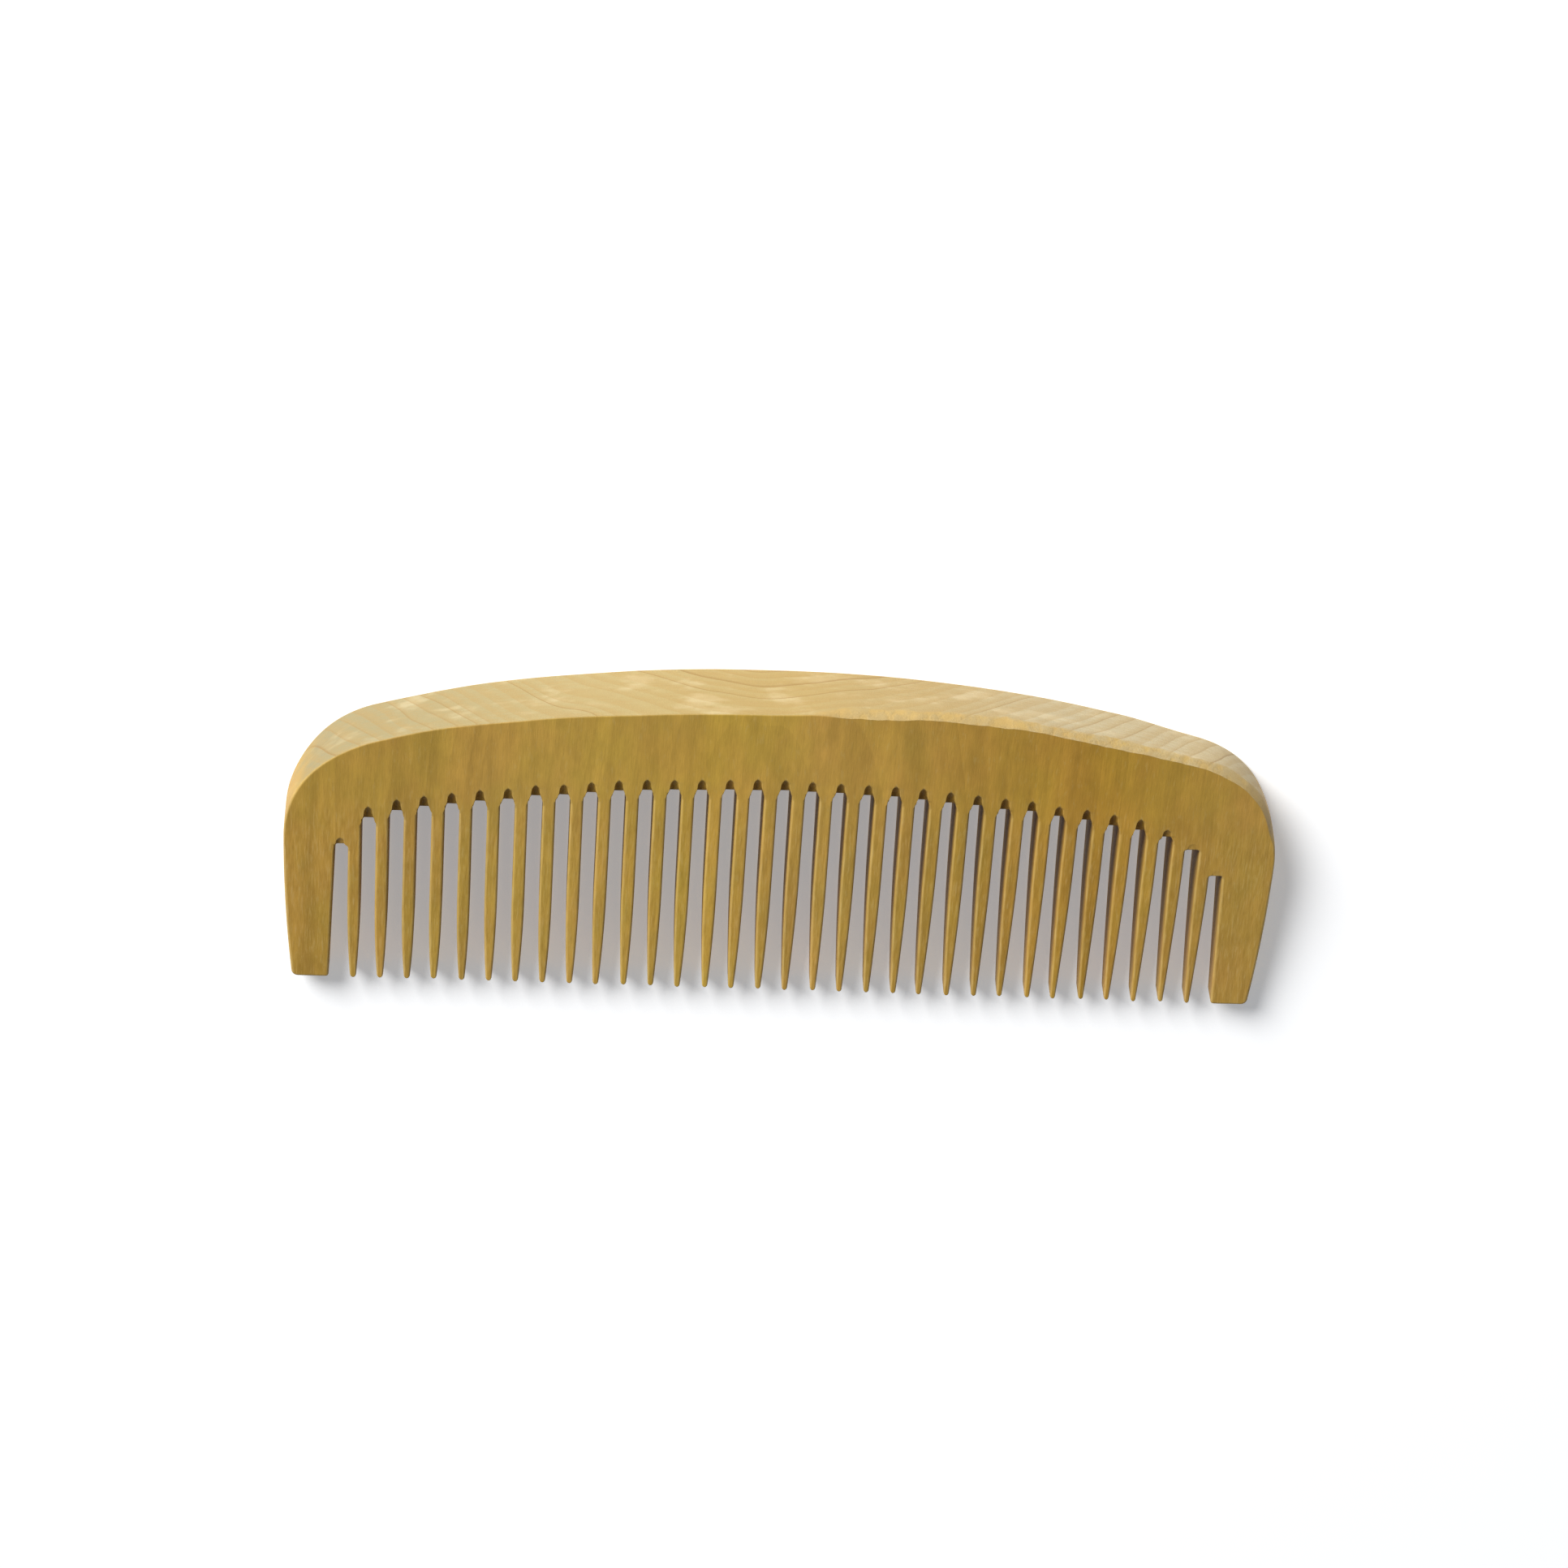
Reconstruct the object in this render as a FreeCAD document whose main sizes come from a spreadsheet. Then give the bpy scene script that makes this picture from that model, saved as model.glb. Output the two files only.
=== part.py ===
"""Wide tooth comb cut from one wooden board, lying on its rear face.

Each sub-part is modelled about the comb's mid-plane: X along the length, Y from the tooth tips up to the
back, Z through the thickness. Its Placement then tips it by half the wedge angle, so that the rear face
lies on Z = 0 and the front face looks up.
"""
import FreeCAD, Part
import math
import os
import Sketcher

os.makedirs("parts", exist_ok=True)
doc = FreeCAD.newDocument("wide_tooth_comb")

# Driving dimensions, in millimetres.
DIMENSIONS = {
    "length": 150.0,
    "height": 52.7,
    "spine_thickness": 12.0,
    "tip_thickness": 4.5,
    "back_radius": 243.0,
    "corner_radius": 18.2,
    "end_radius": 263.0,
    "pitch": 4.15,
    "tooth_width": 1.92,
    "taper_start": 15.0,
    "tip_width": 0.95,
    "tip_radius": 0.5,
    "root_height": 36.1,
    "root_radius": 288.0,
    "outer_slot_drop": 4.3,
    "second_slot_drop": 0.5,
    "guard_root_inside": 67.3,
    "guard_tip_inside": 68.0,
    "guard_corner_radius": 1.0,
    "edge_round": 0.35,
    "tooth_edge": 0.22,
}
TOOTH_COUNT = 32
MIDDLE_SLOT = TOOTH_COUNT // 2 + 1
LAST_SLOT = TOOTH_COUNT + 1

sheet = doc.addObject("Spreadsheet::Sheet", "Sheet")
for row, (alias, size) in enumerate(DIMENSIONS.items(), start=1):
    sheet.set(f"A{row}", alias)
    sheet.set(f"B{row}", str(size))
    sheet.setAlias(f"B{row}", alias)
doc.recompute()


def number(formula):
    """The present value of a formula written in the sheet's aliases."""
    value = sheet.evalExpression(formula)
    return float(getattr(value, "Value", value))


# Formulas shared by the sub-parts. Each one is bound to sketches and placements as it stands.
HALF_LENGTH = "Sheet.length / 2"
SLOPE = "(Sheet.spine_thickness - Sheet.tip_thickness) / (2 * Sheet.height)"
TILT = f"atan({SLOPE})"

# The outline is three arcs, each tangent to the next: the back, the corner and the end.
CORNER_X = "(Sheet.length / 2 - Sheet.corner_radius)"
CORNER_REACH = "(Sheet.back_radius - Sheet.corner_radius)"
CORNER_RISE = f"sqrt({CORNER_REACH}^2 - {CORNER_X}^2)"
CORNER_Y = f"(Sheet.height - Sheet.back_radius + {CORNER_RISE})"
BACK_END_X = f"Sheet.back_radius * {CORNER_X} / {CORNER_REACH}"
BACK_END_Y = f"Sheet.height - Sheet.back_radius + Sheet.back_radius * {CORNER_RISE} / {CORNER_REACH}"


def end_edge_x(y):
    """X of the end edge at a height below the corner arc."""
    reach = f"sqrt(Sheet.end_radius^2 - ({CORNER_Y} - {y})^2)"
    return f"(Sheet.length / 2 - Sheet.end_radius + {reach})"


def slot_x(slot):
    """Middle of a slot, counted from 1 at the left end."""
    return f"({slot - MIDDLE_SLOT} * Sheet.pitch)"


def slot_top(slot):
    """Height of a slot's closed end: an arch, with the slots beside the guards cut shorter."""
    drop = {1: "Sheet.outer_slot_drop", 2: "Sheet.second_slot_drop"}.get(min(slot, LAST_SLOT + 1 - slot), "0")
    sagitta = f"(Sheet.root_radius - sqrt(Sheet.root_radius^2 - {slot_x(slot)}^2))"
    return f"(Sheet.root_height - {sagitta} - {drop})"


def start_sketch(body, name, plane):
    """A sketch on one of the body's own origin planes."""
    sketch = body.newObject("Sketcher::SketchObject", name)
    origin_plane = next(item for item in body.Origin.OriginFeatures if item.Role == plane)
    sketch.AttachmentSupport = [(origin_plane, "")]
    sketch.MapMode = "FlatFace"
    return sketch


def bind(sketch, constraint, formula):
    """Add a dimension and keep it equal to its formula."""
    index = sketch.addConstraint(constraint)
    sketch.setExpression(f"Constraints[{index}]", formula)


def draw_outline(sketch, vertices):
    """Draw a closed outline, counter-clockwise.

    A vertex is (x, y) where a straight edge follows, or (x, y, radius) where an outward arc follows.
    """
    points = [FreeCAD.Vector(number(vertex[0]), number(vertex[1]), 0) for vertex in vertices]
    edges = []
    for index, vertex in enumerate(vertices):
        start = points[index]
        end = points[(index + 1) % len(points)]
        if len(vertex) == 2:
            edges.append(sketch.addGeometry(Part.LineSegment(start, end), False))
            continue
        chord = end - start
        radius = number(vertex[2])
        sagitta = radius - math.sqrt(radius**2 - (chord.Length / 2) ** 2)
        outward = FreeCAD.Vector(chord.y, -chord.x, 0).normalize()
        middle = (start + end) / 2 + outward * sagitta
        edges.append(sketch.addGeometry(Part.Arc(start, middle, end), False))
    for index, edge in enumerate(edges):
        sketch.addConstraint(Sketcher.Constraint("Coincident", edge, 2, edges[(index + 1) % len(edges)], 1))
    for edge, vertex, point in zip(edges, vertices, points):
        bind(sketch, Sketcher.Constraint("DistanceX", -1, 1, edge, 1, point.x), vertex[0])
        bind(sketch, Sketcher.Constraint("DistanceY", -1, 1, edge, 1, point.y), vertex[1])
        if len(vertex) == 3:
            bind(sketch, Sketcher.Constraint("Radius", edge, number(vertex[2])), vertex[2])


def pad_blank(body, vertices):
    """The board's full thickness inside an outline."""
    sketch = start_sketch(body, f"{body.Name}_outline", "XY_Plane")
    draw_outline(sketch, vertices)
    sketch.Visibility = False
    pad = body.newObject("PartDesign::Pad", f"{body.Name}_blank")
    pad.Profile = sketch
    pad.SideType = "Symmetric"
    pad.setExpression("Length", "Sheet.spine_thickness")
    doc.recompute()
    return pad


def plane_to_wedge(body):
    """Plane both faces down towards the tips, which leaves the comb's long wedge section."""
    before = body.Shape.Volume
    sketch = start_sketch(body, f"{body.Name}_wedge", "YZ_Plane")
    past = "1"
    low_y = f"-{past}"
    high_y = f"Sheet.height + {past}"
    low_z = f"Sheet.tip_thickness / 2 - {SLOPE} * {past}"
    high_z = f"Sheet.spine_thickness / 2 + {SLOPE} * {past}"
    draw_outline(sketch, [(low_y, low_z), (high_y, high_z), (low_y, high_z)])
    draw_outline(sketch, [(low_y, f"-({low_z})"), (low_y, f"-({high_z})"), (high_y, f"-({high_z})")])
    pocket = body.newObject("PartDesign::Pocket", f"{body.Name}_planing")
    pocket.Profile = sketch
    pocket.Type = "ThroughAll"
    pocket.SideType = "Symmetric"
    doc.recompute()
    if pocket.Shape.Volume > 0.999 * before:
        raise RuntimeError(f"{body.Label}: planing removed nothing")
    return pocket


def ease_edges(body, feature, kind, size, wanted):
    """Break the sharp edges of the front and rear faces that the given test picks."""
    slope = number(SLOPE)
    tip_half = number("Sheet.tip_thickness / 2")
    names = []
    for index, edge in enumerate(feature.Shape.Edges, start=1):
        on_face = all(abs(abs(v.Z) - tip_half - slope * v.Y) < 0.001 for v in edge.Vertexes)
        level = abs(edge.Vertexes[0].Z - edge.Vertexes[-1].Z) < number("Sheet.tip_thickness")
        if on_face and level and wanted(edge):
            names.append(f"Edge{index}")
    ease = body.newObject(f"PartDesign::{kind}", f"{body.Name}_eased")
    ease.Base = (feature, names)
    ease.setExpression("Radius" if kind == "Fillet" else "Size", size)
    doc.recompute()
    if not ease.Shape.Volume < feature.Shape.Volume:
        raise RuntimeError(f"{body.Label}: easing removed nothing")


def lay_down(body, x="0 * Sheet.pitch"):
    """Tip the sub-part onto the rear face and centre the whole comb on the origin."""
    body.Placement = FreeCAD.Placement(FreeCAD.Vector(), FreeCAD.Rotation(FreeCAD.Vector(1, 0, 0), 1))
    body.setExpression("Placement.Rotation.Angle", TILT)
    rear_reach = "(Sheet.spine_thickness - Sheet.tip_thickness) / 2"
    body.setExpression("Placement.Base.x", x)
    body.setExpression("Placement.Base.y", f"-(Sheet.height * cos({TILT}) + {rear_reach} * sin({TILT})) / 2")
    body.setExpression("Placement.Base.z", f"Sheet.tip_thickness / 2 * cos({TILT})")


def new_body(label):
    body = doc.addObject("PartDesign::Body", label)
    body.Label = label
    return body


def make_spine():
    """The arched back: one half is drawn, planed and eased, and the other mirrors it."""
    body = new_body("spine")
    half_gap = "(Sheet.pitch - Sheet.tooth_width) / 2"
    vertices = [("0", slot_top(MIDDLE_SLOT))]
    for slot in range(MIDDLE_SLOT, LAST_SLOT):
        # Each slot's outer wall steps down to the next slot's end, where the tooth between them starts.
        wall_x = f"{slot_x(slot)} + {half_gap}"
        vertices.append((wall_x, slot_top(slot)))
        vertices.append((wall_x, slot_top(slot + 1)))
    vertices.append((end_edge_x(slot_top(LAST_SLOT)), slot_top(LAST_SLOT), "Sheet.end_radius"))
    vertices.append((HALF_LENGTH, CORNER_Y, "Sheet.corner_radius"))
    vertices.append((BACK_END_X, BACK_END_Y, "Sheet.back_radius"))
    vertices.append(("0", "Sheet.height"))
    pad = pad_blank(body, vertices)
    mirror = body.newObject("PartDesign::Mirrored", "spine_both_halves")
    mirror.Originals = [pad]
    side_plane = next(item for item in body.Origin.OriginFeatures if item.Role == "YZ_Plane")
    mirror.MirrorPlane = (side_plane, [""])
    body.Tip = mirror
    doc.recompute()
    planed = plane_to_wedge(body)
    ease_edges(body, planed, "Fillet", "Sheet.edge_round", lambda edge: not isinstance(edge.Curve, Part.Line))
    lay_down(body)
    return body


def make_guard(label, side):
    """The broad end of the board: side is -1 at the left and 1 at the right."""
    body = new_body(label)
    root = slot_top(LAST_SLOT)
    corner = "Sheet.guard_corner_radius"
    vertices = [
        ("Sheet.guard_root_inside", root),
        ("Sheet.guard_tip_inside", "0"),
        (f"{end_edge_x(corner)} - {corner}", "0", corner),
        (end_edge_x(corner), corner, "Sheet.end_radius"),
        (end_edge_x(root), root),
    ]
    if side < 0:
        # Mirrored, the same vertices run clockwise, so they are taken in reverse with their arcs shifted.
        arcs = [vertex[2:] for vertex in vertices]
        flipped = [(f"-({vertex[0]})", vertex[1]) for vertex in vertices]
        vertices = [flipped[index] + arcs[index - 1] for index in range(len(vertices) - 1, -1, -1)]
    pad_blank(body, vertices)
    planed = plane_to_wedge(body)
    root_y = number(root) - 0.01
    ease_edges(body, planed, "Fillet", "Sheet.edge_round", lambda edge: edge.BoundBox.YMin < root_y)
    lay_down(body)
    return body


def make_tooth(index):
    """A tooth between slots index and index + 1: parallel sides, then a slow curve in to a round tip."""
    body = new_body(f"tooth_{index:02d}")
    shorter_slot = index if index < MIDDLE_SLOT else index + 1
    root = slot_top(shorter_slot)
    half = "Sheet.tooth_width / 2"
    tip_half = "Sheet.tip_width / 2"
    tip_y = "(Sheet.tip_radius - sqrt(Sheet.tip_radius^2 - Sheet.tip_width^2 / 4))"
    run = f"(Sheet.taper_start - {tip_y})"
    inset = "((Sheet.tooth_width - Sheet.tip_width) / 2)"
    taper_radius = f"({run}^2 + {inset}^2) / (2 * {inset})"
    vertices = [
        (f"-{half}", root),
        (f"-{half}", "Sheet.taper_start", taper_radius),
        (f"-{tip_half}", tip_y, "Sheet.tip_radius"),
        (tip_half, tip_y, taper_radius),
        (half, "Sheet.taper_start"),
        (half, root),
    ]
    pad_blank(body, vertices)
    planed = plane_to_wedge(body)
    root_y = number(root) - 0.01
    ease_edges(body, planed, "Chamfer", "Sheet.tooth_edge", lambda edge: edge.BoundBox.YMin < root_y)
    lay_down(body, f"({index} - {MIDDLE_SLOT - 0.5}) * Sheet.pitch")
    return body


subparts = [make_spine(), make_guard("left_end_guard", -1), make_guard("right_end_guard", 1)]
subparts += [make_tooth(index) for index in range(1, TOOTH_COUNT + 1)]
doc.recompute()

for item in doc.Objects:
    if "Invalid" in item.State or "Error" in item.State:
        raise RuntimeError(f"{item.Label} failed: {item.State}")
for body in subparts:
    if body.Shape.isNull() or not body.Shape.isValid() or len(body.Shape.Solids) != 1:
        raise RuntimeError(f"{body.Label} isn't one valid solid")
    body.Shape.exportStep(f"parts/{body.Label}.step")

total = sum(body.Shape.Volume for body in subparts)
print(f"{len(subparts)} sub-parts, {total / 1000:.1f} cubic centimetres of wood")
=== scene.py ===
"""Looks of the wide tooth comb: one pale board, sawn into a comb and sanded by hand.

Every piece is cut from the same board, so all the meshes come from one drawing of the whole comb, split
where the CAD nodes meet. The drawing is in the board's own frame, in millimetres: X along the comb, Y from
the tooth tips up to the back, Z from the mid-plane out through the front face. to_row() lays it down.
"""
import math
from dataclasses import dataclass
from types import SimpleNamespace

import bpy
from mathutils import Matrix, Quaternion, Vector
from mathutils.geometry import delaunay_2d_cdt


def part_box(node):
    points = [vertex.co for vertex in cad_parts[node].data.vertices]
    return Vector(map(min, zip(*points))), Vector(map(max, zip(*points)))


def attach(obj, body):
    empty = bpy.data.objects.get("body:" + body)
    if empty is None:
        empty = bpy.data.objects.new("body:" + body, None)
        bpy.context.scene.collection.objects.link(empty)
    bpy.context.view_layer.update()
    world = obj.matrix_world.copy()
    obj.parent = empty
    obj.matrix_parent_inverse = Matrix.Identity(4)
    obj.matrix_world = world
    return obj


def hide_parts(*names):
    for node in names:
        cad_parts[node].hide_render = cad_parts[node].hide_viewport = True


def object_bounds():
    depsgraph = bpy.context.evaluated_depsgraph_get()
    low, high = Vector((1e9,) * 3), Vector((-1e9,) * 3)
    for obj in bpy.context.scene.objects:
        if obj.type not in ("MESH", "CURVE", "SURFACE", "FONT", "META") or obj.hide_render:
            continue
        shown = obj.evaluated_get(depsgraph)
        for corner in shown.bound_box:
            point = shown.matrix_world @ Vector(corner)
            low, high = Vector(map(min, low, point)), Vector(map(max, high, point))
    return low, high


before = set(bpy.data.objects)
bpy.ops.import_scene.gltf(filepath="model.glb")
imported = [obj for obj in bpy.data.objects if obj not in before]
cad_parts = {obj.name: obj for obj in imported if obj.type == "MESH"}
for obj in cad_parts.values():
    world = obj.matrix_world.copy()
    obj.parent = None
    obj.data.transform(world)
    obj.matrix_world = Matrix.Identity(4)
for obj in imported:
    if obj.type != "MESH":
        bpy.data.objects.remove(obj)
cad_low, cad_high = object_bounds()

MM = 0.001
TOOTH_COUNT = sum(name.startswith("tooth_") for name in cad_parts)
SLOT_COUNT = TOOTH_COUNT + 1
SLOTS = range(1, SLOT_COUNT + 1)


def tooth_name(tooth):
    return f"tooth_{tooth:02d}"


def guard_name(side):
    return "left_end_guard" if side < 0 else "right_end_guard"


def x_range(node):
    low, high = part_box(node)
    return low.x / MM, high.x / MM


# The board, in millimetres, with the same driving sizes as the CAD model.
HALF_LENGTH = cad_high.x / MM
HEIGHT = 52.7
SPINE_THICKNESS = 12.0
TIP_THICKNESS = 4.5
BACK_RADIUS = 243.0
CORNER_RADIUS = 18.2
END_RADIUS = 263.0
ROOT_HEIGHT = 36.1
ROOT_RADIUS = 288.0
OUTER_SLOT_DROP = 4.3
SECOND_SLOT_DROP = 0.5
GUARD_ROOT_INSIDE = 67.3
GUARD_TIP_INSIDE = 68.0
PITCH = (x_range(tooth_name(TOOTH_COUNT))[0] - x_range(tooth_name(1))[0]) / (TOOTH_COUNT - 1)
TOOTH_WIDTH = x_range(tooth_name(1))[1] - x_range(tooth_name(1))[0]
HALF_SLOT = (PITCH - TOOTH_WIDTH) / 2
TAPER_START = (15.0, 25.0)
TAPER_POWER = (2.2, 1.35)
TIP_HALF_WIDTHS = (0.49, 0.38)
TIP_POINT = 1.2
TIP_STEPS = 12

# How far the teeth differ: their tips lean and stop short, and their tapers start a little up or down.
TOOTH_LEAN = 0.13
TOOTH_LEAN_POWER = 1.6
TOOTH_SHORT = 0.10
TAPER_SCATTER = 1.2

SLOPE = (SPINE_THICKNESS - TIP_THICKNESS) / (2 * HEIGHT)
TILT = math.atan(SLOPE)
LAID_Y = -(HEIGHT * math.cos(TILT) + (SPINE_THICKNESS - TIP_THICKNESS) / 2 * math.sin(TILT)) / 2
LAID_Z = TIP_THICKNESS / 2 * math.cos(TILT)

# Softened edges: how far each comes in over the face, how far down the wall, and how flat it is (0 round).
# Per loop, from the wall on to the face: how pale the edge is painted, part wear and part painted highlight,
# and how rubbed it is.
TOOTH_EASE = (0.30, 0.26, 0.35)
TIP_EASE = (0.17, 0.50, 0.0)
SLOT_END_EASE = (0.12, 0.14, 0.0)
CLEAN_SLOT_END_EASE = (0.20, 0.20, 0.0)
GUARD_EASE = (0.35, 0.30, 0.3)
BACK_EASE = (0.26, 0.24, 0.2)
WORN_EASE = (0.72, 1.50, 0.75)
TIP_EASE_HEIGHT = 3.0
EASE_STEPS = 4
SUPPORT = 0.10
MITRE_LIMIT = 0.7
EDGE_WEAR_AND_HIGHLIGHT = (0.45, 0.9, 1.0, 0.9, 0.45, 0.0)
RUBBED = (0.6, 1.0, 1.0, 1.0, 0.8, 0.0)
# How much the rubbed facet takes off the pale edge paint, wear and painted highlight.
RUBBED_HIDES_WEAR_AND_HIGHLIGHT = 0.6

# The rubbed facet: where it begins and over what length it grows, and the waves in its width, each
# (size, rate, seed).
FACET_FROM_X = 1.5
FACET_OVER_X = 9.0
FACET_FROM_Y = 29.0
FACET_OVER_Y = 6.0
FACET_WAVES = ((0.42, 0.33, 2.0), (0.25, 1.3, 5.0), (0.08, 3.7, 1.0))
FACET_INSET_SWING = 0.35
FACET_DROP_SWING = 0.6

BACK_CROWN = 0.12
CROWN_FROM = 26.0
CROWN_OVER = 8.0

# The back was shaped by hand, so its two edges wander in and out of the drawn outline: (x, outwards).
FRONT_LEAN = (
    (-75, 0.1), (-66, -0.25), (-52, 0.3), (-38, -0.1), (-20, -0.6), (-3, -0.8), (11, -0.1),
    (25, 0.8), (35, 1.1), (46, 0.8), (60, 0.75), (70, 1.0), (75, 0.6),
)
REAR_LEAN = (
    (-75, -0.2), (-66, 0.05), (-45, 0.45), (-25, 0.2), (0, 0.0), (35, 0.0), (50, -0.15), (61, -0.6),
    (72, 0.1),
)
LEAN_FROM = 28.5
LEAN_FULL = 38.0
FACE_WAVE = 0.05
CROSS_WAVE = 0.6
GUARD_OUTER_ROUND = 1.0
GUARD_INNER_ROUND = 0.5

# Spacing of the mesh: along the outline, down the walls, and over the faces.
SLOT_END_STEPS = 6
SLOT_WALL_SPACING = 0.15
SLOT_TOP_SPACING = 0.12
ROOT_STEP_SPACING = 0.8
TOOTH_SPACING = 1.6
TAPER_SPACING = 0.9
GUARD_OUTER_STEPS = 6
GUARD_INNER_STEPS = 5
GUARD_BOTTOM_SPACING = 1.0
GUARD_INSIDE_SPACING = 1.6
GUARD_EDGE_SPACING = 1.2
UPPER_EDGE_SPACING = 0.9
CORNER_STEPS = 30
BACK_STEPS = 190
WALL_SHARES = (0.04, 0.2, 0.4, 0.6, 0.8, 0.96)
NET = 3.0
NET_SCATTER = 0.3
NET_CLEARANCE = 0.8
NET_MARGIN = 1.6
SEAM_SPACING = 0.6
RAMP_ROWS = (0.3, 0.37, 0.45, 0.53, 0.61, 0.69, 0.77, 0.84, 0.9, 0.95, 1.0, 1.07, 1.16)
RAMP_COLUMNS = (-1.16, -1.03, -0.9, -0.76, -0.45, 0.0, 0.45, 0.76, 0.9, 1.03, 1.16)
RAMP_NET_START = 1.3
RAMP_MARGIN = 1.4
RAMP_NET_SHRINK = 0.88
SHARP_DEGREES = 40

# The saw leaves a ramp at the closed end of each slot, on both faces. It ran out least at the slots below.
RUN_OUT = {1: 0.45, SLOT_COUNT - 2: 0.55, SLOT_COUNT - 1: 0.10, SLOT_COUNT: 0.06}
RUN_OUT_SCATTER = 0.10
RAGGED_FROM = 0.3
RAMP_DEPTH = 1.25
RAMP_HEIGHT = 3.8
RAMP_LIP = 0.26
RAMP_HALF_WIDTH = 0.72
RAMP_FLARE = 0.30
RAMP_FLARE_FROM = 0.22
RAMP_FLARE_OVER = 0.36
RAMP_BLUNTNESS = 8.0
RAMP_HOLLOW = 2.2
RAMP_FOOT = -0.5
RAMP_SCATTER = 0.07
FAINT_RAMP_HEIGHT = 0.4
# Painted highlight along the ramps' rims: its strength, its width and how far up the ramp it reaches.
RIM_HIGHLIGHT = 0.8
RIM_HIGHLIGHT_WIDTH = 0.16
RIM_HIGHLIGHT_TOP = 1.1
# Ramp depth at which the saw burn and painted shade are full.
FULL_BURN_AND_SHADE_DEPTH = 0.8
# Painted shade on the slot walls: its strength, its share at the tips and the height where it is full.
WALL_SHADE = 0.62
WALL_SHADE_AT_TIPS = 0.45
WALL_SHADE_FULL_HEIGHT = 30.0

# A slot's closed end: how far it is rounded, and how far it stands above the CAD slot's flat end.
SLOT_END_ROUND = 0.55
SLOT_END_RISE = 0.6
CLEAN_END_SHARE = 0.45
SLOT_OVERRUN = 0.45
OVERRUN_SCATTER = 0.12
CLEAN_OVERRUN = 0.2


def clamp(value, low=0.0, high=1.0):
    return max(low, min(high, value))


def smooth(value):
    value = clamp(value)
    return value * value * (3 - 2 * value)


def mix(a, b, share):
    return a + (b - a) * share


def wobble(place, seed):
    """A smooth, repeatable wander between about -1 and 1."""
    slow = 0.5 * math.sin(place + 2.1 * seed)
    quick = 0.3 * math.sin(2.3 * place + seed)
    return slow + quick + 0.2 * math.sin(4.9 * place)


def jitter(index, seed):
    """A repeatable scatter between -1 and 1."""
    spread = math.sin(index * 12.9898 + seed * 78.233) * 43758.5453
    return 2 * (spread - math.floor(spread)) - 1


def to_row(x, y, z):
    """A point of the board, laid on its rear face, in metres."""
    laid_y = y * math.cos(TILT) - z * math.sin(TILT) + LAID_Y
    laid_z = y * math.sin(TILT) + z * math.cos(TILT) + LAID_Z
    return Vector((x, laid_y, laid_z)) * MM


def half_thickness(y):
    return TIP_THICKNESS / 2 + SLOPE * y


# ---------------------------------------------------------------- the drawing


@dataclass
class Corner:
    """A vertex of the outline. The wall from it to the next one belongs to owner."""

    x: float
    y: float
    owner: str
    front: tuple
    rear: tuple


def slot_x(slot):
    return (slot - (SLOT_COUNT + 1) / 2) * PITCH


def slot_top(slot):
    drop = {1: OUTER_SLOT_DROP, 2: SECOND_SLOT_DROP}.get(min(slot, SLOT_COUNT + 1 - slot), 0.0)
    return ROOT_HEIGHT - (ROOT_RADIUS - math.sqrt(ROOT_RADIUS**2 - slot_x(slot) ** 2)) - drop


def nearest_slot(x):
    return round(clamp(x / PITCH + (SLOT_COUNT + 1) / 2, 1, SLOT_COUNT))


def tooth_root(tooth):
    return min(slot_top(tooth), slot_top(tooth + 1))


CORNER_X = HALF_LENGTH - CORNER_RADIUS
CORNER_RISE = math.sqrt((BACK_RADIUS - CORNER_RADIUS) ** 2 - CORNER_X**2)
CORNER_Y = HEIGHT - BACK_RADIUS + CORNER_RISE
BACK_END_ANGLE = math.atan2(CORNER_RISE, CORNER_X)


def end_edge_x(y):
    return HALF_LENGTH - END_RADIUS + math.sqrt(END_RADIUS**2 - (CORNER_Y - y) ** 2)


def line(start, end, spacing):
    """Points from start up to, but not including, end."""
    steps = max(1, round(math.dist(start, end) / spacing))
    return [(mix(start[0], end[0], i / steps), mix(start[1], end[1], i / steps)) for i in range(steps)]


def arc(centre, radius, start, end, steps):
    """Points round a circle from one angle up to, but not including, the other, in degrees."""
    angles = [math.radians(mix(start, end, i / steps)) for i in range(steps)]
    return [(centre[0] + radius * math.cos(a), centre[1] + radius * math.sin(a)) for a in angles]


def ramp_strength(slot):
    """How far the saw ran out at each slot: hardly at all at the last two."""
    return RUN_OUT.get(slot, 1.0) * (1 + RUN_OUT_SCATTER * jitter(slot, 3))


def is_ragged(slot):
    return ramp_strength(slot) > RAGGED_FROM


def slot_end(slot):
    """The closed end of a slot, from its left wall to its right wall, rounded in the corners."""
    left = -GUARD_ROOT_INSIDE if slot == 1 else slot_x(slot) - HALF_SLOT
    right = GUARD_ROOT_INSIDE if slot == SLOT_COUNT else slot_x(slot) + HALF_SLOT
    overrun, share = CLEAN_OVERRUN, CLEAN_END_SHARE
    if is_ragged(slot):
        overrun, share = SLOT_OVERRUN + OVERRUN_SCATTER * jitter(slot, 6), 1.0
    reach = SLOT_END_ROUND * share
    rise = SLOT_END_RISE * share
    base = slot_top(slot)
    shoulder = base + overrun
    turns = [math.pi / 2 * i / SLOT_END_STEPS for i in range(SLOT_END_STEPS)]
    points = line((left, base), (left, shoulder), SLOT_WALL_SPACING)
    points += [(left + reach * (1 - math.cos(t)), shoulder + rise * math.sin(t)) for t in turns]
    points += line((left + reach, shoulder + rise), (right - reach, shoulder + rise), SLOT_TOP_SPACING)
    points += [(right - reach * (1 - math.sin(t)), shoulder + rise * math.cos(t)) for t in turns]
    return points + line((right, shoulder), (right, base), SLOT_WALL_SPACING)


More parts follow.
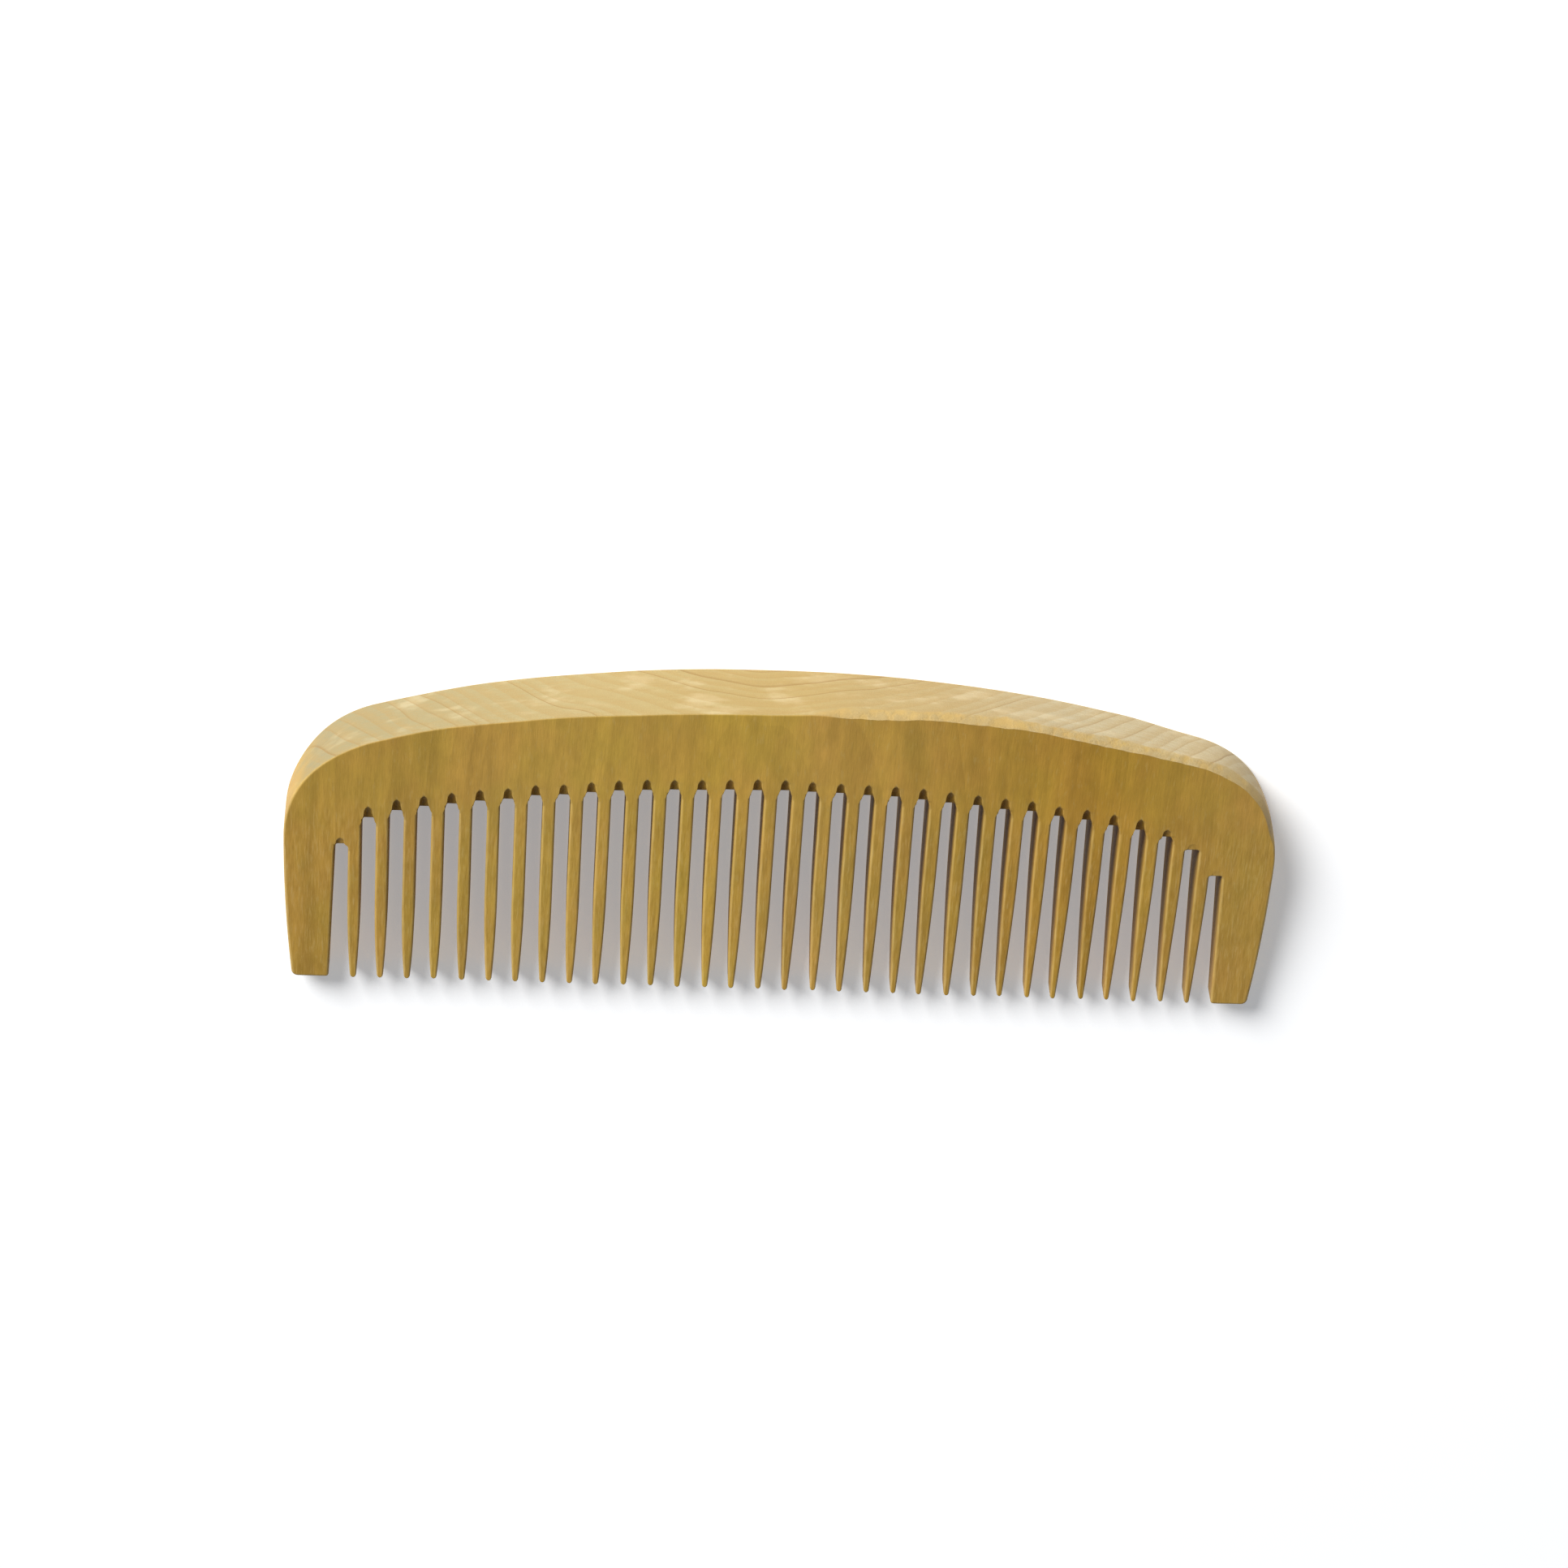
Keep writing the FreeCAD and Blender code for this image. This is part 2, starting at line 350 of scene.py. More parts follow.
def tooth_sides(tooth):
    """The left side, the tip and the right side of a tooth, each with its own slight lean and width."""
    centre = slot_x(tooth) + PITCH / 2
    root = tooth_root(tooth)
    lean = TOOTH_LEAN * jitter(tooth, 1)
    short = TOOTH_SHORT * (1 + jitter(tooth, 2))
    rightwards = (tooth - 1) / (TOOTH_COUNT - 1)
    taper = min(mix(*TAPER_START, rightwards) + TAPER_SCATTER * jitter(tooth, 4), root - 2)
    power = mix(*TAPER_POWER, rightwards)
    half_root = TOOTH_WIDTH / 2
    tip_half = mix(*TIP_HALF_WIDTHS, rightwards)
    tip_length = TIP_POINT * tip_half
    tip_y = short + tip_length

    def centre_at(y):
        return centre + lean * clamp((root - y) / root) ** TOOTH_LEAN_POWER

    def half_at(y):
        narrowing = clamp((taper - y) / (taper - tip_y)) ** power
        return mix(half_root, tip_half, narrowing)

    levels = [y for _, y in line((0, root), (0, taper), TOOTH_SPACING)]
    levels += [y for _, y in line((0, taper), (0, tip_y), TAPER_SPACING)]
    left = [(centre_at(y) - half_at(y), y) for y in levels]
    right = [(centre_at(y) + half_at(y), y) for y in reversed(levels[1:])]
    turns = [math.pi * i / TIP_STEPS for i in range(TIP_STEPS + 1)]
    tip = [(centre_at(tip_y) - tip_half * math.cos(t), tip_y - tip_length * math.sin(t)) for t in turns]
    return left, tip, right


def ease_between(a, b, share):
    return tuple(mix(x, y, smooth(share)) for x, y in zip(a, b))


def rubbed_at(x, y):
    """How much of the rubbed facet there is at a place on the back's front edge."""
    return smooth((x - FACET_FROM_X) / FACET_OVER_X) * smooth((y - FACET_FROM_Y) / FACET_OVER_Y)


def back_ease(x, y):
    """The front edge of the back: crisp at the left, rubbed to a wavy facet from the middle to the right."""
    worn = rubbed_at(x, y)
    inset, drop, flat = ease_between(BACK_EASE, WORN_EASE, worn)
    wave = worn * sum(size * wobble(rate * x, seed) for size, rate, seed in FACET_WAVES)
    return (inset * (1 + FACET_INSET_SWING * wave), drop * (1 + FACET_DROP_SWING * wave), flat)


def draw_outline():
    """The whole comb, counter-clockwise from the left guard's outer bottom corner."""
    corners = []

    def add(points, owner, ease):
        """ease is a tuple for both faces, or a function that gives the front's and the rear's at a point."""
        for x, y in points:
            front, rear = ease(x, y) if callable(ease) else (ease, ease)
            corners.append(Corner(x, y, owner, front, rear))

    def guard_bottom(side):
        """One guard from its outer bottom corner round to its root inside, or the other way on the right."""
        outer, inner = GUARD_OUTER_ROUND, GUARD_INNER_ROUND
        tip_x = end_edge_x(outer)
        inside = (-GUARD_ROOT_INSIDE, slot_top(1))
        inner_x = -GUARD_TIP_INSIDE - inner
        points = arc((-tip_x + outer, outer), outer, 180, 270, GUARD_OUTER_STEPS)
        points += line((-tip_x + outer, 0), (inner_x, 0), GUARD_BOTTOM_SPACING)
        points += arc((inner_x, inner), inner, 270, 360, GUARD_INNER_STEPS)
        points += line((-GUARD_TIP_INSIDE, inner), inside, GUARD_INSIDE_SPACING)
        if side > 0:
            points = [(-x, y) for x, y in reversed(points + [inside])][:-1]
        add(points, guard_name(side), GUARD_EASE)

    def end_edge(side):
        """A guard's outer edge, upwards on the right and downwards on the left."""
        levels = [y for _, y in line((0, GUARD_OUTER_ROUND), (0, slot_top(1)), GUARD_EDGE_SPACING)]
        if side < 0:
            levels = list(reversed(levels + [slot_top(1)]))[:-1]
        add([(side * end_edge_x(y), y) for y in levels], guard_name(side), GUARD_EASE)

    guard_bottom(-1)
    for slot in SLOTS:
        near = SLOT_END_EASE if is_ragged(slot) else CLEAN_SLOT_END_EASE

        def slot_ease(x, y, base=slot_top(slot), near=near):
            ease = ease_between(TOOTH_EASE, near, (y - base) / SLOT_OVERRUN)
            return ease, ease

        def tooth_ease(x, y):
            ease = ease_between(TOOTH_EASE, TIP_EASE, 1 - y / TIP_EASE_HEIGHT)
            return ease, ease

        add(slot_end(slot), "spine", slot_ease)
        if slot == SLOT_COUNT:
            break
        wall_left = slot_x(slot) + HALF_SLOT
        wall_right = slot_x(slot + 1) - HALF_SLOT
        root = tooth_root(slot)
        if slot_top(slot) > root:
            step = line((wall_left, slot_top(slot)), (wall_left, root), ROOT_STEP_SPACING)
            add(step, "spine", TOOTH_EASE)
        left, tip, right = tooth_sides(slot)
        add(left + tip + right, tooth_name(slot), tooth_ease)
        if slot_top(slot + 1) > root:
            step = line((wall_right, root), (wall_right, slot_top(slot + 1)), ROOT_STEP_SPACING)
            add(step, "spine", TOOTH_EASE)
    guard_bottom(1)
    end_edge(1)

    def along_back(x, y):
        return back_ease(x, y), BACK_EASE

    upper = [y for _, y in line((0, slot_top(1)), (0, CORNER_Y), UPPER_EDGE_SPACING)]
    end_angle = math.degrees(BACK_END_ANGLE)
    points = [(end_edge_x(y), y) for y in upper]
    points += arc((CORNER_X, CORNER_Y), CORNER_RADIUS, 0, end_angle, CORNER_STEPS)
    points += arc((0, HEIGHT - BACK_RADIUS), BACK_RADIUS, end_angle, 180 - end_angle, BACK_STEPS)
    points += arc((-CORNER_X, CORNER_Y), CORNER_RADIUS, 180 - end_angle, 180, CORNER_STEPS)
    points += [(-end_edge_x(y), y) for y in reversed(upper[1:] + [CORNER_Y])]
    add(points, "spine", along_back)
    end_edge(-1)
    return corners


# ---------------------------------------------------------------- the surfaces


def ramp_height(slot):
    return RAMP_HEIGHT * mix(FAINT_RAMP_HEIGHT, 1.0, clamp(ramp_strength(slot)))


def ramp_middle(slot):
    return slot_x(slot) + RAMP_SCATTER * jitter(slot, 5)


def up_ramp(y, slot):
    """How far up a slot's ramp a place is: 0 at the CAD slot's end, 1 at the ramp's top."""
    return (y - slot_top(slot)) / ramp_height(slot)


def ramp_half_width(above):
    """A blunt arch, flared to the slot's width at its foot."""
    flare = RAMP_FLARE * (1 - smooth((above - RAMP_FLARE_FROM) / RAMP_FLARE_OVER))
    return (RAMP_HALF_WIDTH + flare) * (1 - above**RAMP_BLUNTNESS)


def ramp_depth(x, y):
    """How far the saw's ramp above a slot lies below the face."""
    slot = nearest_slot(x)
    above = up_ramp(y, slot)
    if not RAMP_FOOT < above < 1:
        return 0.0
    above = max(above, 0.0)
    side = clamp((ramp_half_width(above) - abs(x - ramp_middle(slot))) / RAMP_LIP)
    return RAMP_DEPTH * ramp_strength(slot) * (1 - above**RAMP_HOLLOW) * smooth(side)


def hand_wave(x, y):
    """The faces were planed and sanded by hand, so they are never quite flat. Always inside the board."""
    wave = wobble(0.21 * x + 0.05 * y, 1.0) + CROSS_WAVE * wobble(0.11 * y - 0.09 * x, 3.0)
    return FACE_WAVE * (wave / (1 + CROSS_WAVE) - 1)


def face_z(x, y, side):
    """The front face for side 1, the rear face for side -1."""
    return side * (half_thickness(y) - ramp_depth(x, y) + hand_wave(x, y))


def crown_at(corner):
    """How far the rims of the back lie inside its middle, which is slightly crowned."""
    if corner.rear is not BACK_EASE:
        return 0.0
    return BACK_CROWN * smooth((corner.y - CROWN_FROM) / CROWN_OVER)


def station(stations, x):
    """A smooth curve through a few (x, value) stations."""
    for (x0, a), (x1, b) in zip(stations, stations[1:]):
        if x < x1:
            return mix(a, b, smooth((x - x0) / (x1 - x0)))
    return stations[-1][1]


def lean_at(corner, front_share):
    """How far outwards the back's wall stands, from its rear edge at 0 to its front edge at 1."""
    if corner.rear is not BACK_EASE:
        return 0.0
    lean = mix(station(REAR_LEAN, corner.x), station(FRONT_LEAN, corner.x), front_share)
    return lean * smooth((corner.y - LEAN_FROM) / (LEAN_FULL - LEAN_FROM))


def ramp_burn_and_shade_at(x, y):
    """How brown a ramp is painted, for saw burn and painted shade: fully, well down a ramp."""
    return clamp(ramp_depth(x, y) / FULL_BURN_AND_SHADE_DEPTH)


def wall_shade_at(corner):
    """Painted shade on the walls of the slots, darkest near their closed ends."""
    if corner.rear is BACK_EASE or corner.rear is GUARD_EASE and abs(corner.x) > GUARD_TIP_INSIDE:
        return 0.0
    return WALL_SHADE * mix(WALL_SHADE_AT_TIPS, 1.0, smooth(corner.y / WALL_SHADE_FULL_HEIGHT))


def inward_ways(corners):
    """The direction from each corner into the wood, level at the seams so that they stay straight."""
    ways = []
    for i, corner in enumerate(corners):
        before, after = corners[i - 1], corners[(i + 1) % len(corners)]
        first = Vector((before.y - corner.y, corner.x - before.x)).normalized()
        second = Vector((corner.y - after.y, after.x - corner.x)).normalized()
        way = (first + second).normalized()
        way /= max(way.dot(first), MITRE_LIMIT)
        if before.owner != corner.owner:
            way = Vector((math.copysign(1, way.x), 0))
        ways.append(way)
    return ways


class Comb:
    """The vertices of the whole comb, and its faces kept by node."""

    def __init__(self, corners):
        self.corners = corners
        self.ways = inward_ways(corners)
        self.points = []
        self.wear_and_highlight = []
        self.burn_and_shade = []
        self.rubbed = []
        self.faces = {node: [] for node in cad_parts}
        self.front = self.edge_loops(1)
        self.rear = self.edge_loops(-1)
        self.walls = self.wall_rows()
        for upper, lower in zip(self.front[1:], self.front):
            self.strip(upper, lower)
        for upper, lower in zip(self.walls, self.walls[1:]):
            self.strip(upper, lower)
        for upper, lower in zip(self.rear, self.rear[1:]):
            self.strip(upper, lower)
        seams = self.find_seams()
        front_middles = self.fill(1, self.front, seams)
        rear_middles = self.fill(-1, self.rear, seams)
        for node, ends in seams.items():
            self.close_seam(node, ends, front_middles[node], rear_middles[node])

    def vertex(self, x, y, z, wear_and_highlight=0.0, burn_and_shade=0.0, rubbed=0.0):
        self.points.append((x, y, z))
        self.wear_and_highlight.append(wear_and_highlight)
        self.burn_and_shade.append(burn_and_shade)
        self.rubbed.append(rubbed)
        return len(self.points) - 1

    def edge_loops(self, side):
        """The loops that round an edge off, from wall to face, and one more that keeps the face flat."""
        loops = []
        for step in range(EASE_STEPS + 2):
            share = min(step / EASE_STEPS, 1.0)
            turn = share * math.pi / 2
            # How pale this loop is painted: edge wear and painted highlight.
            wear_and_highlight = EDGE_WEAR_AND_HIGHLIGHT[step]
            loop = []
            for corner, way in zip(self.corners, self.ways):
                inset, drop, flat = corner.front if side > 0 else corner.rear
                reach = crown_at(corner) + inset * mix(1 - math.cos(turn), share, flat)
                reach -= lean_at(corner, (side + 1) / 2)
                reach += SUPPORT * (step > EASE_STEPS)
                below = drop * mix(1 - math.sin(turn), 1 - share, flat)
                x, y = corner.x + way.x * reach, corner.y + way.y * reach
                rubbed = 0.0
                if corner.rear is BACK_EASE and side > 0:
                    rubbed = RUBBED[step] * rubbed_at(corner.x, corner.y)
                z = face_z(x, y, side) - side * below
                worn = wear_and_highlight * (1 - RUBBED_HIDES_WEAR_AND_HIGHLIGHT * rubbed)
                loop.append(self.vertex(x, y, z, worn, ramp_burn_and_shade_at(x, y), rubbed))
            loops.append(loop)
        return loops

    def wall_rows(self):
        """Rows of vertices down the walls, from the front rim to the rear rim."""
        rows = [self.front[0]]
        for share in WALL_SHARES:
            row = []
            for i, (corner, way) in enumerate(zip(self.corners, self.ways)):
                top, bottom = self.points[self.front[0][i]][2], self.points[self.rear[0][i]][2]
                reach = crown_at(corner) * (2 * share - 1) ** 2 - lean_at(corner, 1 - share)
                x, y = corner.x + way.x * reach, corner.y + way.y * reach
                # Painted shade down the slot walls, and saw burn with painted shade in the ramps.
                burn_and_shade = max(ramp_burn_and_shade_at(x, y), wall_shade_at(corner))
                row.append(self.vertex(x, y, mix(top, bottom, share), 0.0, burn_and_shade))
            rows.append(row)
        return rows + [self.rear[0]]

    def strip(self, upper, lower):
        """Quads between two loops. They face out where upper is nearer the middle of the front face."""
        for i, corner in enumerate(self.corners):
            j = (i + 1) % len(self.corners)
            self.faces[corner.owner].append((upper[i], lower[i], lower[j], upper[j]))

    def find_seams(self):
        """Each tooth's and guard's first and last corner, which it shares with the spine."""
        seams = {}
        for i, corner in enumerate(self.corners):
            before = self.corners[i - 1]
            if before.owner != corner.owner:
                if corner.owner != "spine":
                    seams.setdefault(corner.owner, [None, None])[0] = i
                if before.owner != "spine":
                    seams.setdefault(before.owner, [None, None])[1] = i
        return seams

    def fill(self, side, loops, seams):
        """Triangles over one face, inside its innermost loop. Gives the vertices across each seam."""
        rim = loops[-1]
        ids = list(rim)
        count = len(rim)
        edges = [(i, (i + 1) % count) for i in range(count)]
        middles = {}
        for node, (first, last) in seams.items():
            start, end = self.points[rim[first]], self.points[rim[last]]
            inner = line(start[:2], end[:2], SEAM_SPACING)[1:]
            middles[node] = [self.vertex(x, y, face_z(x, y, side), 0.0, ramp_burn_and_shade_at(x, y)) for x, y in inner]
            chain = [first] + list(range(len(ids), len(ids) + len(inner))) + [last]
            ids += middles[node]
            edges += list(zip(chain, chain[1:]))
        for x, y in fill_points():
            # The ramps' rims get painted highlight.
            ids.append(self.vertex(x, y, face_z(x, y, side), ramp_rim_highlight(x, y), ramp_burn_and_shade_at(x, y)))
        flat = [Vector(self.points[i][:2]) for i in ids]
        placed, _, triangles, sources, _, _ = delaunay_2d_cdt(flat, edges, [], 1, 0.0)
        for triangle in triangles:
            a, b, c = (ids[sources[i][0]] for i in triangle)
            p, q, r = (placed[i] for i in triangle)
            node = node_at(*((p + q + r) / 3))
            turned = (q - p).cross(r - p)
            self.faces[node].append((a, b, c) if turned * side > 0 else (a, c, b))
        return middles

    def close_seam(self, node, ends, front_middle, rear_middle):
        """The flat cut between a tooth or guard and the spine, on both of them."""
        first, last = ends
        rows = self.walls[1:-1]
        ring = [loop[first] for loop in self.front] + front_middle
        ring += [loop[last] for loop in reversed(self.front)] + [row[last] for row in rows]
        ring += [loop[last] for loop in self.rear] + rear_middle[::-1]
        ring += [loop[first] for loop in reversed(self.rear)] + [row[first] for row in reversed(rows)]
        middle = sum((Vector(self.points[i]) for i in ring), Vector()) / len(ring)
        across = Vector(self.points[ring[-1]]) - middle
        centre = self.vertex(*middle)
        upwards = (Vector(self.points[ring[0]]) - middle).cross(across).y < 0
        for a, b in zip(ring, ring[1:] + ring[:1]):
            self.faces[node].append((centre, a, b) if upwards else (centre, b, a))
            self.faces["spine"].append((centre, b, a) if upwards else (centre, a, b))


def ramp_rim_highlight(x, y):
    """Painted highlight along the rims of the ramps."""
    slot = nearest_slot(x)
    above = up_ramp(y, slot)
    if not 0 < above < RIM_HIGHLIGHT_TOP:
        return 0.0
    from_rim = abs(abs(x - ramp_middle(slot)) - ramp_half_width(min(above, 1.0)))
    return RIM_HIGHLIGHT * clamp(ramp_strength(slot)) * clamp(1 - from_rim / RIM_HIGHLIGHT_WIDTH)


def node_at(x, y):
    """The node whose wood is at a place on the face."""
    if abs(x) > GUARD_ROOT_INSIDE:
        return "spine" if y > slot_top(1) else guard_name(x)
    tooth = math.floor(x / PITCH + (SLOT_COUNT + 1) / 2)
    if not 1 <= tooth <= TOOTH_COUNT or y > tooth_root(tooth):
        return "spine"
    return tooth_name(tooth)


def fill_points():
    """Free vertices on a face: a coarse net over the spine, and a fine one at each ramp."""
    points = []
    for column in range(int(2 * HALF_LENGTH / NET)):
        x = -HALF_LENGTH + NET * (column + 0.5)
        for row in range(int(HEIGHT / NET)):
            y = NET * (row + 0.5 + 0.5 * (column % 2)) + NET_SCATTER * jitter(row, column)
            on_guard = abs(x) > GUARD_ROOT_INSIDE + NET_CLEARANCE
            over_ramps = y > slot_top(nearest_slot(x)) + RAMP_HEIGHT + NET_CLEARANCE
            if (on_guard or over_ramps) and inside_board(x, y, NET_MARGIN):
                points.append((x, y))
    for slot in SLOTS:
        for share in RAMP_ROWS:
            half_width = ramp_half_width(min(share, RAMP_NET_SHRINK))
            y = slot_top(slot) + share * ramp_height(slot)
            if y > slot_top(slot) + RAMP_NET_START:
                points += [(ramp_middle(slot) + way * half_width, y) for way in RAMP_COLUMNS]
                points += [(ramp_middle(slot) + side * RAMP_MARGIN, y) for side in (-1, 1)]
    return points


def inside_board(x, y, margin):
    """Whether a point lies in the board's outline, ignoring the slots, by at least a margin."""
    if y < margin:
        return False
    if y < CORNER_Y:
        return abs(x) < end_edge_x(y) - margin
    in_arc = math.hypot(x, y - HEIGHT + BACK_RADIUS) < BACK_RADIUS - margin
    in_corner = abs(x) < CORNER_X or math.hypot(abs(x) - CORNER_X, y - CORNER_Y) < CORNER_RADIUS - margin
    return in_arc and in_corner


def make_piece(comb, node, material):
    """One node's own closed mesh, riding on the board's body."""
    used = sorted({i for face in comb.faces[node] for i in face})
    renumber = {old: new for new, old in enumerate(used)}
    mesh = bpy.data.meshes.new(f"wood_{node}")
    places = [to_row(*comb.points[i]) for i in used]
    mesh.from_pydata(places, [], [[renumber[i] for i in face] for face in comb.faces[node]])
    # Per vertex: edge wear with painted highlight, saw burn with painted shade, and the rubbed facet.
    for name, values in (("wear_and_highlight", comb.wear_and_highlight), ("burn_and_shade", comb.burn_and_shade), ("rubbed", comb.rubbed)):
        layer = mesh.attributes.new(name, "FLOAT", "POINT")
        layer.data.foreach_set("value", [values[i] for i in used])
    mesh.shade_smooth()
    mesh.set_sharp_from_angle(angle=math.radians(SHARP_DEGREES))
    mesh.materials.append(material)
    piece = bpy.data.objects.new(f"wood_{node}", mesh)
    bpy.context.scene.collection.objects.link(piece)
    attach(piece, "root")
    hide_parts(node)
    return piece


# ---------------------------------------------------------------- the wood

RING_CENTRE = (-3.0, 0.0, -38.0)
RING_SPACING = 2.1
RING_WANDER = 9.0
RING_UNEVENNESS = 2.2

# Colours along the comb, each (share of its length, colour). The side grain is more olive left of the
# middle, and more orange and darker on the right. The end grain of the back is painted pale cream, for the
# light and sheen that fall on the back, and grows paler to the right.
SIDE_COLOURS = (
    (0.03, (0.513, 0.306, 0.055)),
    (0.27, (0.577, 0.355, 0.068)),
    (0.42, (0.589, 0.370, 0.059)),
    (0.53, (0.578, 0.348, 0.069)),
    (0.66, (0.531, 0.314, 0.055)),
    (0.82, (0.511, 0.289, 0.038)),
    (0.97, (0.549, 0.329, 0.065)),
)
LIT_END_GRAIN_COLOURS = (
    (0.03, (0.300, 0.260, 0.137)),
    (0.30, (0.431, 0.339, 0.151)),
    (0.50, (0.434, 0.315, 0.117)),
    (0.66, (0.450, 0.339, 0.157)),
    (0.78, (0.491, 0.415, 0.255)),
    (0.97, (0.551, 0.454, 0.268)),
)
TINTS = ((0.38, (0.975, 1.010, 0.95)), (0.62, (1.025, 0.990, 1.05)))
PALE_FIBRE = (0.66, 0.47, 0.17, 1)
DARK_FIBRE = (0.38, 0.205, 0.030, 1)
SIDE_LINE = (0.18, 0.085, 0.010, 1)
FLECK = (0.61, 0.45, 0.16, 1)
BLOTCH = (0.43, 0.28, 0.066, 1)
PORE = (0.36, 0.235, 0.075, 1)
SANDED = (0.40, 0.265, 0.092, 1)
PALE_PATCH = (0.78, 0.66, 0.42, 1)
LATE_WOOD = (0.40, 0.25, 0.075, 1)
END_LINE = (0.27, 0.150, 0.038, 1)
RUBBED_FACET = (0.40, 0.29, 0.12, 1)
# Pale edge colour: part wear, part painted highlight on the edges and the ramps' rims.
PALE_EDGE_AND_HIGHLIGHT = (0.62, 0.46, 0.18, 1)
# Brown for saw burn and painted shade in the ramps, and painted shade on the slot walls.
SAW_BURN_AND_SHADE = (0.19, 0.098, 0.020, 1)


class Nodes:
    """A short way to write a node tree: each method adds one node and gives its output."""

    def __init__(self, tree):
        self.tree = tree

    def add(self, kind, inputs=(), **settings):
        node = self.tree.nodes.new(kind)
        for name, value in settings.items():
            setattr(node, name, value)
        for key, value in dict(inputs).items():
            self.feed(node.inputs[key], value)
        return node

    def feed(self, socket, value):
        if isinstance(value, bpy.types.NodeSocket):
            self.tree.links.new(value, socket)
        else:
            socket.default_value = value

    def math(self, operation, *values, clamped=False):
        node = self.add("ShaderNodeMath", enumerate(values), operation=operation, use_clamp=clamped)
        return node.outputs[0]

    def between(self, value, low, high, to_low=0.0, to_high=1.0, kind="SMOOTHSTEP"):
        inputs = {0: value, 1: low, 2: high, 3: to_low, 4: to_high}
        return self.add("ShaderNodeMapRange", inputs, interpolation_type=kind).outputs[0]

    def stretch(self, vector, scale, shift=(0, 0, 0)):
        inputs = {"Vector": vector, "Scale": scale, "Location": shift}
        return self.add("ShaderNodeMapping", inputs).outputs[0]

    def noise(self, vector, scale=1.0, detail=2.0, roughness=0.5, distortion=0.0):
        inputs = {"Vector": vector, "Scale": scale, "Detail": detail, "Roughness": roughness}
        inputs["Distortion"] = distortion
        return self.add("ShaderNodeTexNoise", inputs).outputs[0]

    def mix(self, share, a, b, blend="MIX"):
        node = self.add("ShaderNodeMix", data_type="RGBA", blend_type=blend)
        for index, value in zip((0, 6, 7), (share, a, b)):
            self.feed(node.inputs[index], value)
        return node.outputs[2]

    def ramp(self, value, stops):
        node = self.add("ShaderNodeValToRGB", {0: value})
        elements = node.color_ramp.elements
        while len(elements) < len(stops):
            elements.new(0.5)
        for element, (place, colour) in zip(elements, stops):
            element.position = place
            element.color = (*colour, 1)
        return node.outputs[0]


def board_place(n):
    """Where a point is in the board's frame, in millimetres."""
    unturn = Quaternion((1, 0, 0), -TILT)
    shift = unturn @ Vector((0, -LAID_Y, -LAID_Z))
    inputs = {"Vector": n.add("ShaderNodeTexCoord").outputs["Object"], "Location": shift}
    inputs["Rotation"] = (-TILT, 0, 0)
    inputs["Scale"] = (1 / MM, 1 / MM, 1 / MM)
    return n.add("ShaderNodeMapping", inputs).outputs[0]


def grain_patterns(n, place):
    """The patterns that the colours, gloss and relief share, most of them drawn out along the fibres."""
    flecks = n.noise(n.stretch(place, (2.2, 0.5, 2.2), (7, 3, 1)), detail=3.0)
    brushed = n.stretch(place, (0.16, 1.0, 2.6), (2, 5, 8))
    return SimpleNamespace(
        streak=n.noise(n.stretch(place, (0.8, 0.06, 0.8)), detail=3.0, roughness=0.55, distortion=0.4),
        fibre=n.noise(n.stretch(place, (4.0, 0.22, 4.0)), detail=4.0, roughness=0.62),
        fine=n.noise(n.stretch(place, (16.0, 0.5, 16.0)), detail=3.0, roughness=0.6),
        bands=n.noise(n.stretch(place, (0.22, 0.012, 0.05)), detail=2.0, roughness=0.55),
        blotch=n.noise(n.stretch(place, (0.06, 0.05, 0.06)), detail=3.0),
        flecks=n.between(flecks, 0.58, 0.72),
        mottle=n.noise(n.stretch(place, (0.5, 0.22, 0.5), (3, 9, 4)), detail=4.0, roughness=0.6),
        tint=n.noise(n.stretch(place, (0.11, 0.06, 0.11), (4, 6, 8)), detail=3.0, roughness=0.6),
        pores=n.noise(n.stretch(place, (3.0, 2.0, 3.0)), detail=4.0, roughness=0.7),
        sanding=n.noise(brushed, detail=4.0, roughness=0.65, distortion=0.6),
        patches=n.noise(n.stretch(place, (0.12, 0.1, 0.3), (5, 1, 2)), detail=3.0, roughness=0.6),
    )


def growth_rings(n, place):
    """How late in its year the wood at a place grew, and how strongly the line that ends the year shows.

    Rings are bands of distance from the pith, which wander a little and are uneven in width.
    """
    drift = n.noise(n.stretch(place, (0.035, 0.010, 0.035)), detail=2.0)
    pith = n.stretch(place, (1, 0, 1), (-RING_CENTRE[0], 0, -RING_CENTRE[2]))
    radius = n.add("ShaderNodeVectorMath", {0: pith}, operation="LENGTH").outputs["Value"]
    wander = n.math("MULTIPLY", n.math("SUBTRACT", drift, 0.5), RING_WANDER)
    rings = n.math("DIVIDE", n.math("ADD", radius, wander), RING_SPACING)
    uneven = n.noise(n.add("ShaderNodeCombineXYZ", {0: rings}).outputs[0], scale=0.45, detail=1.0)
    rings = n.math("ADD", rings, n.math("MULTIPLY", uneven, RING_UNEVENNESS))
    share = n.math("FRACT", rings)
    growth = n.between(share, 0.1, 0.9)
    late = n.math("MULTIPLY", n.between(share, 0.78, 0.95), n.between(share, 0.955, 1.0, 1.0, 0.0))
    which = n.math("FLOOR", rings)
    boldness = n.add("ShaderNodeTexWhiteNoise", {"W": which}, noise_dimensions="1D").outputs["Value"]
    return growth, n.math("MULTIPLY", late, n.between(boldness, 0.2, 1.0))


